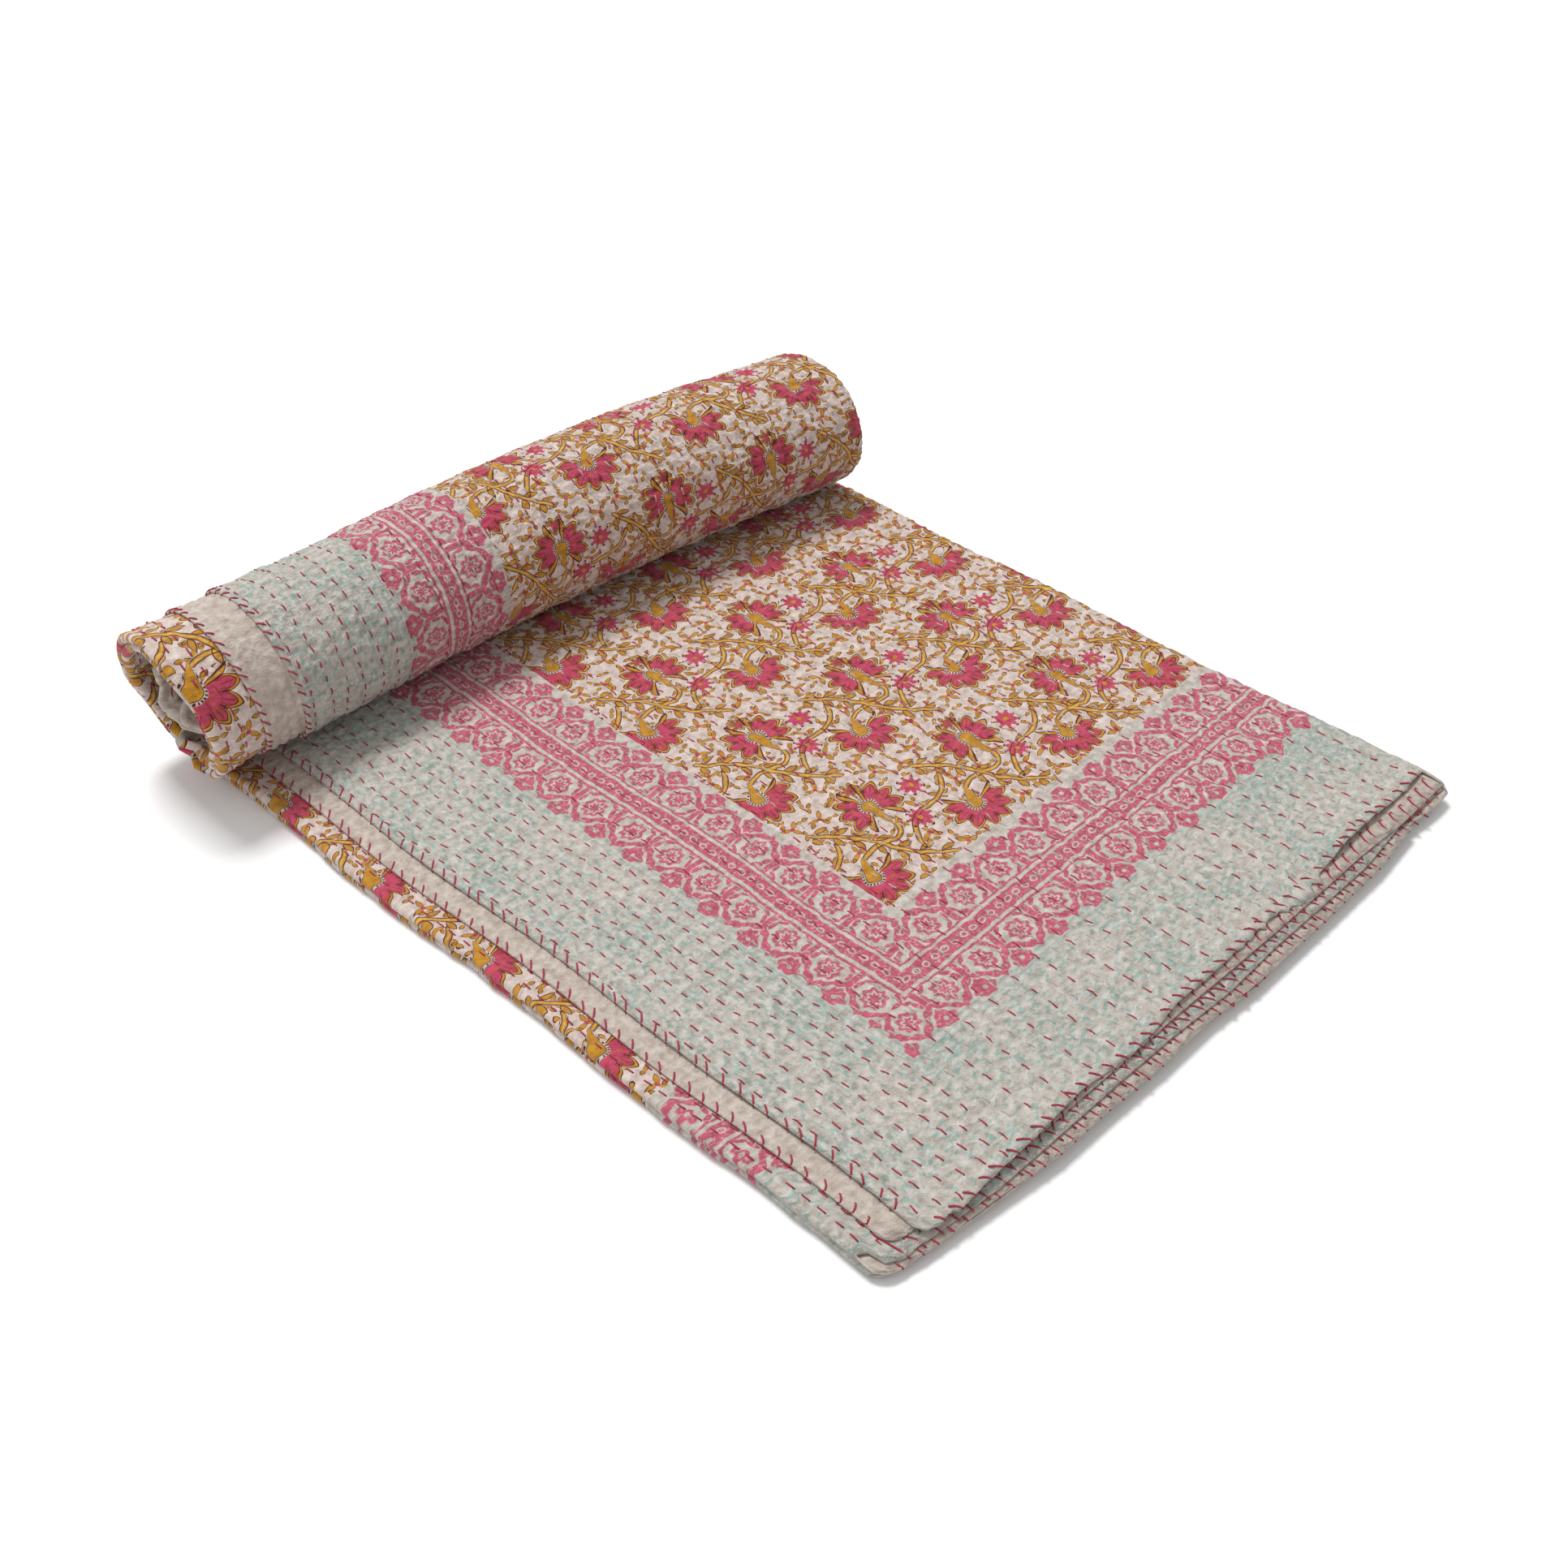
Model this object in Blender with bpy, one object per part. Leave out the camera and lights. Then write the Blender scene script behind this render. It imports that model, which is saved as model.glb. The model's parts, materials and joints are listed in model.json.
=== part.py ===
"""A hand-quilted cotton bed cover, folded and half rolled up.

The cover is one sheet of two cloths run together. It is folded in half across and in half
again, then end to end into an upper and a lower page, and rolled from that fold over its own
top. X runs across the folded width, Y from the open front hems to the roll, and Z is up.
"""

import math

import bmesh
import bpy

# The sheet, in metres.
SHEET = 0.0020  # thickness of the two cloths run together
LAYER = 0.0023  # from one folded layer to the next
LAYERS = 8  # two pages of four runs across
RUN_LAYERS = (0, 3, 2, 1)  # the layer of its page that each run across lies in, from outside
STITCH_ROWS = 40  # rows of running stitch across a folded face
PUFF = 0.00022  # the cloth stands this proud between rows, and sinks as far at them

# Folded across in four.
FACE_WIDTH = 0.547  # from the top hem to the folds on the right
LEFT_FOLD = -0.0345  # the folds on the left reach past the hems
UPPER_HEMS = (0.0, -0.0165)  # each page's two hems along the left, the outside one first
LOWER_HEMS = (0.022, -0.004)
HEM_DROOP = 0.0021  # what reaches past a hem underneath sinks by about one layer
FOLD_DROOP = 0.0041  # and by about two where it reaches past both

# Rolled up.
WINDING_GAP = 0.0013
TURNS = 2.5
STEPS_A_TURN = 14
FLAT_STEPS = 6
OUTSIDE_STEPS = 12  # the steps of the roll's outside that can be seen
LIFTS_IN = 0.25  # the part of a turn over which the sunk left edge rises level again
HEMS_MEET_AFTER = 1.0  # from this turn on the two pages' hems run towards one another
END_FOLD_STEPS = 4

# Across the roll: where its middle stands, the radius of its outside, and how much its top
# slumps, as a share of its height. Between rows these run straight.
ACROSS = [
    # x, roll_y, radius, slump
    (-0.060, 0.6190, 0.0750, 0.000),
    (-0.004, 0.6220, 0.0734, 0.000),
    (0.022, 0.6220, 0.0724, 0.000),
    (0.190, 0.6210, 0.0728, 0.000),
    (0.370, 0.6070, 0.0738, 0.004),
    (0.547, 0.5850, 0.0730, 0.040),
]

# Along the roll, by turns: how far its two ends stand to the right of the flat part's edges.
ROLL_ENDS = [
    # turns, left_end, right_end
    (0.00, -0.011, 0.000),
    (0.30, -0.036, -0.005),
    (0.55, -0.040, -0.008),
    (0.75, -0.034, -0.008),
    (1.00, -0.026, -0.005),
    (1.30, -0.022, -0.010),
    (1.80, -0.018, -0.012),
    (2.50, -0.014, -0.012),
]
ENDS_FADE = 0.160  # the width over which that dies away

# How far the layers reach forward at the front hems, from the top layer down.
FRONT_HEMS = [
    # x, layer_0, layer_1, layer_3, layer_7
    (-0.0345, -0.0040, 0.0040, -0.0040, 0.0040),
    (0.022, -0.0070, -0.0030, -0.0150, -0.0060),
    (0.190, -0.0100, -0.0110, -0.0265, -0.0180),
    (0.370, -0.0090, -0.0180, -0.0330, -0.0250),
    (0.547, -0.0080, -0.0220, -0.0270, -0.0200),
]
HEM_LAYERS = (0, 1, 3, 7)
CORNER_ROUND = 0.010  # the front corners are rounded by this much
TOP_WAVE = 0.035  # the flat pile swells and sinks by this share of its height
TOP_WAVE_ACROSS = 9.0  # the swell's turn across, in radians a metre
EDGE_WAVE = 0.0015  # the flat part's edges wander by this much
EDGE_WAVES = 2.5  # so many times along their length

COTTON_COLOUR = (0.62, 0.40, 0.37, 1.0)
COTTON_ROUGHNESS = 0.9

PILE = (LAYERS - 1) * LAYER + SHEET
WINDING = PILE + WINDING_GAP
RIGHT_TURN = FACE_WIDTH - 1.5 * LAYER - SHEET / 2  # the middle of the folds on the right
LEFT_TURN = LEFT_FOLD + 0.5 * LAYER + SHEET / 2
SHARED_COLUMNS = [row[0] for row in ACROSS[1:-1]]
RUN_LABELS = len(SHARED_COLUMNS) + 2
LEFT_EDGES = (UPPER_HEMS[0], UPPER_HEMS[1], *[LEFT_FOLD] * 4, LOWER_HEMS[1], LOWER_HEMS[0])


def read_table(table, at, column):
    """A table's column where its first column is at, straight between its rows."""
    for low, high in zip(table, table[1:]):
        if at <= high[0] or high is table[-1]:
            share = (at - low[0]) / (high[0] - low[0])
            return low[column] + (high[column] - low[column]) * share
    return table[-1][column]


def smooth(share):
    share = min(max(share, 0.0), 1.0)
    return share * share * (3 - 2 * share)


def layer_height(layer):
    """The middle of a layer over the underside of the pile."""
    return (LAYERS - 1 - layer) * LAYER + SHEET / 2


def droop(x):
    """How far the layers sink at the left, where they reach past the hems underneath."""
    past_one = (LOWER_HEMS[0] - x) / (LOWER_HEMS[0] - LOWER_HEMS[1])
    past_both = (LOWER_HEMS[1] - x) / (LOWER_HEMS[1] - LEFT_FOLD)
    second = FOLD_DROOP - HEM_DROOP
    return HEM_DROOP * min(max(past_one, 0), 1) + second * min(max(past_both, 0), 1)


def run_columns(start, end):
    """Where a run across has its points, each with its number along the run."""
    low, high = min(start, end), max(start, end)
    columns = [(0, low)]
    columns += [(at + 1, x) for at, x in enumerate(SHARED_COLUMNS) if low + 0.002 < x < high]
    columns.append((RUN_LABELS - 1, high))
    if start < end:
        return columns
    return [(RUN_LABELS - 1 - label, x) for label, x in reversed(columns)]


def cross_section(hems):
    """The upper page's row across: label, x, height, the way the printed side faces, run."""
    ends = [(hems[0], RIGHT_TURN), (RIGHT_TURN, LEFT_TURN)]
    ends += [(LEFT_TURN, RIGHT_TURN), (RIGHT_TURN, hems[1])]
    points = []
    for run, (start, end) in enumerate(ends):
        heading = 1 if end > start else -1
        height = layer_height(RUN_LAYERS[run])
        for label, x in run_columns(start, end):
            points.append((run * RUN_LABELS + label, x, height, 0.0, heading, run))
        if run + 1 == len(ends):
            break
        following = layer_height(RUN_LAYERS[run + 1])
        radius, middle = (height - following) / 2, (height + following) / 2
        downwards = math.copysign(1, radius)
        steps = 3 if abs(radius) > LAYER else 2
        for step in range(1, steps):
            turn = math.pi * step / steps
            x = end + heading * abs(radius) * math.sin(turn)
            z = middle + radius * math.cos(turn)
            label = (run + 1) * RUN_LABELS - 1 + step / steps
            across, up = downwards * math.sin(turn), heading * math.cos(turn)
            points.append((label, x, z, across, up, None))
    return points


def hems_at(own, other, step):
    """A page's hems at a step: its own on the flat part, halfway to the other's at the end."""
    turns = (step - FLAT_STEPS) / STEPS_A_TURN
    share = smooth((turns - HEMS_MEET_AFTER) / (TURNS - HEMS_MEET_AFTER)) / 2
    return [a + (b - a) * share for a, b in zip(own, other)]


def front_hem(x, height):
    """How far forward a point's layer reaches, with its left corner rounded."""
    layer = (LAYERS - 1) - (height - SHEET / 2) / LAYER
    reach = [read_table(FRONT_HEMS, x, column + 1) for column in range(len(HEM_LAYERS))]
    y = read_table(list(zip(HEM_LAYERS, reach)), layer, 1)
    inside = min(max(x - LEFT_EDGES[round(layer)], 0.0), CORNER_ROUND)
    rounding = math.sqrt(CORNER_ROUND**2 - (CORNER_ROUND - inside) ** 2)
    return y + CORNER_ROUND - rounding


def aside(x, turns):
    """How far a point stands to the right of where the flat part has it."""
    near_left = max(1 - (x - LEFT_FOLD) / ENDS_FADE, 0)
    near_right = max(1 - (FACE_WIDTH - x) / ENDS_FADE, 0)
    left_end, right_end = read_table(ROLL_ENDS, turns, 1), read_table(ROLL_ENDS, turns, 2)
    return left_end * near_left + right_end * near_right


def place(x, height, step, further=0.0):
    """The point of the pile at x and height, at a step along the flat part and the roll."""
    roll_y = read_table(ACROSS, x, 1)
    radius = read_table(ACROSS, x, 2)
    slump = read_table(ACROSS, x, 3)
    if step < FLAT_STEPS:
        share = step / FLAT_STEPS
        front = front_hem(x, height)
        y = front + (roll_y - front) * share
        swell = math.sin(math.tau * share) * math.sin(TOP_WAVE_ACROSS * x + 1)
        z = height * (1 + TOP_WAVE * swell) - droop(x)
        out = aside(x, 0) * smooth(share)
        out += EDGE_WAVE * math.sin(math.tau * EDGE_WAVES * share)
    else:
        turns = (step - FLAT_STEPS) / STEPS_A_TURN
        angle = math.tau * turns
        at_radius = radius - WINDING * turns - height
        around = angle + further / (radius - WINDING * turns)
        y = roll_y + at_radius * math.sin(around)
        sunk = droop(x) * (1 - smooth(turns / LIFTS_IN))
        z = radius - at_radius * math.cos(around) - sunk
        out = aside(x, turns)
    low = z / (2 * radius)
    y_slumped = roll_y + (y - roll_y) * (1 - slump * low) if y > roll_y else y
    return (x + out, y_slumped, z * (1 - slump * low))


def side_point(point, step, turned, side, puff=0.0):
    """A point on the printed side (1) or the back (-1), its row turned round the end fold."""
    _, x, height, across, up, _ = point
    off = side * SHEET / 2 + puff
    above_middle = height + up * off - PILE / 2
    height = PILE / 2 + above_middle * math.cos(turned)
    return place(x + across * off, height, step, further=above_middle * math.sin(turned))


def quilted(run, step, turned):
    """Whether the printed side shows its rows there: on the flat's top or the roll's outside."""
    on_flat = turned == 0 and step < FLAT_STEPS
    on_roll = turned == math.pi and FLAT_STEPS < step <= FLAT_STEPS + OUTSIDE_STEPS
    return run == 0 and (on_flat or on_roll)


def row_of_points(section, step, turned, side):
    """One row across the sheet: how far along the section each point is, and the point."""
    row = []
    for point, after in zip(section, section[1:] + [None]):
        row.append((point[0], side_point(point, step, turned, side)))
        run = point[5]
        if side == -1 or after is None or after[5] != run or not quilted(run, step, turned):
            continue
        columns = 2 * max(1, round((after[1] - point[1]) / FACE_WIDTH * STITCH_ROWS))
        for column in range(1, columns):
            share = column / columns
            label, x = [a + (b - a) * share for a, b in zip(point[:2], after[:2])]
            puff = PUFF if column % 2 else -PUFF
            fine = (label, x, *point[2:])
            row.append((label, side_point(fine, step, turned, side, puff)))
    return row


def sheet_rows(side):
    """All rows of one side of the sheet, from the upper page's front hem to the lower's."""
    last = FLAT_STEPS + round(TURNS * STEPS_A_TURN)
    uppers = [(step, 0.0, hems_at(UPPER_HEMS, LOWER_HEMS, step)) for step in range(last + 1)]
    lowers = [(step, math.pi, hems_at(LOWER_HEMS, UPPER_HEMS, step)) for step in range(last + 1)]
    fold = [math.pi * part / END_FOLD_STEPS for part in range(1, END_FOLD_STEPS)]
    rows = uppers + [(last, turned, uppers[-1][2]) for turned in fold] + lowers[::-1]
    return [row_of_points(cross_section(hems), step, turned, side) for step, turned, hems in rows]


def zip_rows(mesh, first, second):
    """Faces between two rows whose points may be spaced differently."""
    i = j = 0
    while i < len(first) - 1 or j < len(second) - 1:
        next_i = first[i + 1][0] if i < len(first) - 1 else math.inf
        next_j = second[j + 1][0] if j < len(second) - 1 else math.inf
        if abs(next_i - next_j) < 1e-6:
            corners = (first[i][1], second[j][1], second[j + 1][1], first[i + 1][1])
            i, j = i + 1, j + 1
        elif next_i < next_j:
            corners = (first[i][1], second[j][1], first[i + 1][1])
            i += 1
        else:
            corners = (first[i][1], second[j][1], second[j + 1][1])
            j += 1
        mesh.faces.new(corners)


def build_quilt(name, material):
    mesh = bmesh.new()
    sides = []
    for side in (1, -1):
        rows = sheet_rows(side)
        sides.append([[(at, mesh.verts.new(co)) for at, co in row] for row in rows])
    printed, back = sides
    for side in sides:
        for first, second in zip(side, side[1:]):
            zip_rows(mesh, first, second)
    zip_rows(mesh, printed[0], back[0])
    zip_rows(mesh, printed[-1], back[-1])
    for edge in (0, -1):
        for row in range(len(printed) - 1):
            rim = (printed[row], printed[row + 1], back[row + 1], back[row])
            mesh.faces.new([points[edge][1] for points in rim])
    bmesh.ops.recalc_face_normals(mesh, faces=mesh.faces)
    stand_on_origin(mesh)
    data = bpy.data.meshes.new(name)
    mesh.to_mesh(data)
    mesh.free()
    data.materials.append(material)
    quilt = bpy.data.objects.new(name, data)
    bpy.context.scene.collection.objects.link(quilt)
    return quilt


def stand_on_origin(mesh):
    """Moves the quilt so that the origin is under the middle of its box, on the ground."""
    low = [min(v.co[axis] for v in mesh.verts) for axis in range(3)]
    high = [max(v.co[axis] for v in mesh.verts) for axis in range(3)]
    shift = (-(low[0] + high[0]) / 2, -(low[1] + high[1]) / 2, -low[2])
    bmesh.ops.translate(mesh, vec=shift, verts=mesh.verts)


def cotton(name):
    material = bpy.data.materials.new(name)
    material.use_nodes = True
    shader = material.node_tree.nodes["Principled BSDF"]
    shader.inputs["Base Color"].default_value = COTTON_COLOUR
    shader.inputs["Roughness"].default_value = COTTON_ROUGHNESS
    shader.inputs["Metallic"].default_value = 0.0
    return material


def main():
    for old in list(bpy.data.objects):
        bpy.data.objects.remove(old, do_unlink=True)
    build_quilt("quilt", cotton("printed_cotton"))


main()
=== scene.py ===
"""A kantha quilt, folded twice across and once end to end, then rolled over its own top."""
import json
import math

import bmesh
import bpy
import numpy as np
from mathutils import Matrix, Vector

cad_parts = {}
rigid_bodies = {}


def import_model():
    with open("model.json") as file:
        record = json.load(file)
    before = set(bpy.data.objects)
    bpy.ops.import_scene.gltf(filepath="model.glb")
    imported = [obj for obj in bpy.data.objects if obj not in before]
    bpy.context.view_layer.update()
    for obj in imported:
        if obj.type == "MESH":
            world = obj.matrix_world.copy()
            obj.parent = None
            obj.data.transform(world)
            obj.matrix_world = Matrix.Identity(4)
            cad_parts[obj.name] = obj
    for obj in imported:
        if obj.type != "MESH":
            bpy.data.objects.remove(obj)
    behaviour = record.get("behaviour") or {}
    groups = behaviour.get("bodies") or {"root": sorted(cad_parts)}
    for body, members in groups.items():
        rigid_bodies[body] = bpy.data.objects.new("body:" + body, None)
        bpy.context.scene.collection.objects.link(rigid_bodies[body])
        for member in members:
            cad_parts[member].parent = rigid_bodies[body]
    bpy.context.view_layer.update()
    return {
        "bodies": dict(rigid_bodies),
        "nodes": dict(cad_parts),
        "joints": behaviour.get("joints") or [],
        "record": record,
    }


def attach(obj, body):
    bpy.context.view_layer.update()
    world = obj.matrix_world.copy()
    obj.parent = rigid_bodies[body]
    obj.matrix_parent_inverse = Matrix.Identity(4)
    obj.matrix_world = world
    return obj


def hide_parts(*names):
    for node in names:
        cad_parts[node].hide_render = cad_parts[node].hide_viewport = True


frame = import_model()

# ------------------------------ sizes, in metres
# The folding's own X runs across the quilt from the top hem, Y from the front hems to the roll.
MIDDLE = (0.23702, 0.32830)  # the middle of the folded quilt, in the folding's X and Y

# The folding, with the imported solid's own sizes.
SOLID = 0.0020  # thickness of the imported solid
CLOTH = 0.0018  # thickness of the two cloths run together, which lie inside it
LAYER = 0.0023  # from one folded layer to the next
LAYERS = 8
FACE_WIDTH = 0.547  # from the top hem to the folds on the right
LEFT_FOLD = -0.0345  # where the folds on the left are
UPPER_HEMS = (0.0, -0.0165)  # the upper page's hems along the left, the outside one first
LOWER_HEMS = (0.022, -0.004)  # and the lower page's
HEM_DROOP = 0.0021  # what reaches past one hem underneath sinks by this much
FOLD_DROOP = 0.0041  # and past both hems by this much
FLAT_LENGTH = 0.620  # from the front hems to where the roll lifts off
FRONT_EDGE = 0.004  # the front hem's place in the length along a page
CORNER_ROUND = 0.010  # the front corners are rounded by this much
TOP_WAVE = 0.035  # the flat pile swells and sinks by this share of its height
TOP_WAVE_ACROSS = 9.0  # the swell's turn across, in radians a metre
EDGE_WAVE = 0.0015  # the flat part's edges wander by this much
EDGE_WAVES = 2.5  # so many times along their length
WINDING_GAP = 0.0013  # between one winding of the pile and the next
TURNS = 2.5
OUTSIDE_RADIUS = 0.072  # of the roll, at the printed face that shows
WOUND_RADIUS = 0.0635  # and at the middle of its pile
ENDS_FADE = 0.160  # the width over which the roll's ends stray from the flat's edges
LIFTS_IN = 0.25  # the part of a turn over which the sunk left edge rises level again
HEMS_MEET_AFTER = 1.0  # from this turn on the two pages' hems run towards one another
PRINT_END = 1.05  # turns after which the roll's folds show the reverse

# The slack of real cloth, on top of that.
FOLD_RISE = 0.20  # the folds on the left stand this much higher, as a share
FOLD_RISE_WIDTH = 0.010
FOLD_PUFF = 0.0011  # and each swells out by this much
FOLD_PUFF_WIDTH = 0.012
HEM_SLACK = 0.0026  # how far the top hems stand off the cloth under them
HEM_WAVE = 0.0017  # and how far the front hems wander
CORE_CRUMPLE = 0.0038  # how far the rolled-up core is crushed out of shape at its left end
CORE_RADIUS = 0.062  # the core that is crushed, within this radius
CORE_FADE = 0.022  # more and more over this much inwards
CORE_MOUTH = 0.050  # and from this place across towards the left end
CORE_DEPTH = 0.060  # over this much

PILE = (LAYERS - 1) * LAYER + SOLID
WINDING = PILE + WINDING_GAP
RIGHT_TURN = FACE_WIDTH - 1.5 * LAYER - SOLID / 2
LEFT_TURN = LEFT_FOLD + 0.5 * LAYER + SOLID / 2
LEFT_EDGES = np.array([*UPPER_HEMS, *[LEFT_FOLD] * 4, *LOWER_HEMS[::-1]])

# Across the roll: where its middle stands, the radius of its outside, and how much its top
# slumps, as a share of its height.
ACROSS = [
    # x, roll_y, radius, slump
    (-0.060, 0.6190, 0.0750, 0.000),
    (-0.004, 0.6220, 0.0734, 0.000),
    (0.022, 0.6220, 0.0724, 0.000),
    (0.190, 0.6210, 0.0728, 0.000),
    (0.370, 0.6070, 0.0738, 0.004),
    (0.547, 0.5850, 0.0730, 0.040),
]
# Along the roll, by turns: how far its two ends stand to the right of the flat part's edges.
ROLL_ENDS = [
    # turns, left_end, right_end
    (0.00, -0.011, 0.000),
    (0.30, -0.036, -0.005),
    (0.55, -0.040, -0.008),
    (0.75, -0.034, -0.008),
    (1.00, -0.026, -0.005),
    (1.30, -0.022, -0.010),
    (1.80, -0.018, -0.012),
    (2.50, -0.014, -0.012),
]
# How far the layers reach forward at the front hems, from the top layer down.
FRONT_HEMS = [
    # x, layer_0, layer_1, layer_3, layer_7
    (-0.0345, -0.0040, 0.0040, -0.0040, 0.0040),
    (0.022, -0.0070, -0.0030, -0.0150, -0.0060),
    (0.190, -0.0100, -0.0110, -0.0265, -0.0180),
    (0.370, -0.0090, -0.0180, -0.0330, -0.0250),
    (0.547, -0.0080, -0.0220, -0.0270, -0.0200),
]
HEM_LAYERS = (0, 1, 3, 7)

# Along the cloth from the upper hem: where each run of the folded section starts.
OUTER_TURN = math.pi * 1.5 * LAYER
INNER_TURN = math.pi * 0.5 * LAYER
RUN_WIDTH = RIGHT_TURN - LEFT_TURN
START_B = RIGHT_TURN + OUTER_TURN
START_C = START_B + RUN_WIDTH + INNER_TURN
START_D = START_C + RUN_WIDTH + INNER_TURN
CLOTH_WIDTH = START_D + RIGHT_TURN - UPPER_HEMS[1]
OUTSIDE_ARC = math.tau * OUTSIDE_RADIUS  # once round the roll's outside

# Quilting
ROW_PITCH = 0.0125  # rows of running stitch
STITCH_PITCH = 0.0140
STITCH_LENGTH = 0.0072
THREAD = 0.00060  # radius of the sewing thread
HEM_THREAD = THREAD * 1.15  # the hems are sewn with it doubled
WHIP_PITCH = 0.0118
VALLEY_WIDTH = 0.0030  # how wide a row of stitches pulls the cloth down
PUCKER_WIDTH = 0.0045  # how far the small folds reach out from a row
PLEAT_PITCH = 0.0072
PLEAT_HEIGHT = 0.00055

# The print
BORDER = 0.1776  # the borders end here, from the left hem
FRONT_BORDER = 0.1820  # and here, from the front hem
WEAVE = 0.0011  # pitch of the weave, coarse enough to be seen


# ------------------------------ folding
def smooth(share):
    share = np.clip(share, 0, 1)
    return share * share * (3 - 2 * share)


def through(table, at, column):
    """A table's column where its first column is at, on a smooth curve through its rows."""
    places = np.array([row[0] for row in table])
    values = np.array([row[column] for row in table])
    slopes = np.gradient(values, places)
    low = np.clip(np.searchsorted(places, at) - 1, 0, len(places) - 2)
    span = places[low + 1] - places[low]
    s = np.clip((at - places[low]) / span, 0, 1)
    start = (1 + 2 * s) * (1 - s) ** 2 * values[low] + s * (1 - s) ** 2 * span * slopes[low]
    end = s * s * (3 - 2 * s) * values[low + 1] + s * s * (s - 1) * span * slopes[low + 1]
    return start + end


def ripples(a, b, size, seed):
    """Uneven swells about size apart, mostly between -1 and 1."""
    rng = np.random.default_rng(seed)
    total = 0
    for _ in range(7):
        heading, phase = rng.uniform(0, math.tau, 2)
        wave = math.tau / size * rng.uniform(0.6, 1.5)
        total = total + np.sin((a * math.cos(heading) + b * math.sin(heading)) * wave + phase)
    return total / 2.6


def layer_height(layer):
    return (LAYERS - 1 - layer) * LAYER + SOLID / 2


def droop(x):
    """How far the left edge sinks where fewer layers lie under it."""
    past_one = smooth((LOWER_HEMS[0] - x) / (LOWER_HEMS[0] - LOWER_HEMS[1]))
    past_both = smooth((LOWER_HEMS[1] - x) / (LOWER_HEMS[1] - LEFT_FOLD))
    return HEM_DROOP * past_one + (FOLD_DROOP - HEM_DROOP) * past_both


def front_hem(x, height):
    """How far forward a layer's hem reaches, and how much its left corner is rounded off."""
    layer = np.clip((LAYERS - 1) - (height - SOLID / 2) / LAYER, 0, LAYERS - 1)
    reach = [through(FRONT_HEMS, x, column + 1) for column in range(len(HEM_LAYERS))]
    y = reach[0]
    for at in range(len(HEM_LAYERS) - 1):
        low, high = HEM_LAYERS[at], HEM_LAYERS[at + 1]
        y = y + (reach[at + 1] - reach[at]) * np.clip((layer - low) / (high - low), 0, 1)
    y = y + HEM_WAVE * ripples(x, layer * 0.060, 0.110, 51)
    inside = np.clip(x - LEFT_EDGES[np.rint(layer).astype(int)], 0, CORNER_ROUND)
    return y, CORNER_ROUND - np.sqrt(CORNER_ROUND**2 - (CORNER_ROUND - inside) ** 2)


def aside(x, turns):
    """How far the cloth lies to the right of where it does on the flat, towards the roll's ends."""
    near_left = np.maximum(1 - (x - LEFT_FOLD) / ENDS_FADE, 0)
    near_right = np.maximum(1 - (FACE_WIDTH - x) / ENDS_FADE, 0)
    return through(ROLL_ENDS, turns, 1) * near_left + through(ROLL_ENDS, turns, 2) * near_right


def crushed(x, out, y, z, roll_y, radius, turns):
    """Crushes the roll's core out of shape towards its left end, every winding together."""
    dy, dz = y - roll_y, z - radius
    near_core = smooth((CORE_RADIUS - np.hypot(dy, dz)) / CORE_FADE) * smooth((turns - 0.7) / 0.3)
    wave = CORE_CRUMPLE * (near_core * smooth((CORE_MOUTH - x) / CORE_DEPTH))
    out = out + 1.6 * wave * ripples(dy + 0.4 * x, dz, 0.034, 31)
    y = y + wave * ripples(dy + 0.3 * x, dz - x, 0.036, 32)
    z = z + wave * ripples(dy - x, dz + 0.5 * x, 0.036, 33)
    return out, y, z


def place(x, height, along, further):
    """Points of the pile: along runs from -1 at the front hem to 0 where it lifts off the flat,
    then counts the roll's turns."""
    x, height, along, further = np.broadcast_arrays(x, height, along, further)
    roll_y, radius, slump = (through(ACROSS, x, column) for column in (1, 2, 3))
    share = along + 1
    left = 1 - np.minimum(share, 1)
    height = height * (1 + FOLD_RISE * np.exp(-(((x - LEFT_FOLD) / FOLD_RISE_WIDTH) ** 2)))
    reach, rounding = front_hem(x, height)
    # The hems' reach dies away over the nearest third, and the corner's rounding much sooner.
    flat_y = FLAT_LENGTH * share + reach * left**6 + rounding * left**40
    flat_y = flat_y + (roll_y - FLAT_LENGTH) * np.clip(share, 0, 1) ** 4
    swell = np.sin(math.tau * share) * np.sin(TOP_WAVE_ACROSS * x + 1)
    flat_z = height * (1 + TOP_WAVE * swell) - droop(x)
    flat_out = aside(x, 0 * x) * smooth(share) + EDGE_WAVE * np.sin(math.tau * EDGE_WAVES * share)
    turns = np.maximum(along, 0)
    at_radius = radius - WINDING * turns - height
    around = math.tau * turns + further / (radius - WINDING * turns)
    roll_up_y = roll_y + at_radius * np.sin(around)
    sunk = droop(x) * (1 - smooth(turns / LIFTS_IN))
    roll_z = radius - at_radius * np.cos(around) - sunk
    rolled = along >= 0
    y = np.where(rolled, roll_up_y, flat_y)
    z = np.where(rolled, roll_z, flat_z)
    out = np.where(rolled, aside(x, turns), flat_out)
    out, y, z = crushed(x, out, y, z, roll_y, radius, turns)
    low = z / (2 * radius)
    y = np.where(y > roll_y, roll_y + (y - roll_y) * (1 - slump * low), y)
    return np.stack([x + out - MIDDLE[0], y - MIDDLE[1], z * (1 - slump * low)], axis=-1)


def hem_x(along, turned):
    """Where the first and the last run's hems are, for rows of the upper or lower page."""
    share = smooth((along - HEMS_MEET_AFTER) / (TURNS - HEMS_MEET_AFTER)) / 2
    lower = turned > math.pi / 2
    hems = []
    for up, low in zip(UPPER_HEMS, LOWER_HEMS):
        own, other = np.where(lower, low, up), np.where(lower, up, low)
        hems.append(own + (other - own) * share)
    return hems


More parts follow.
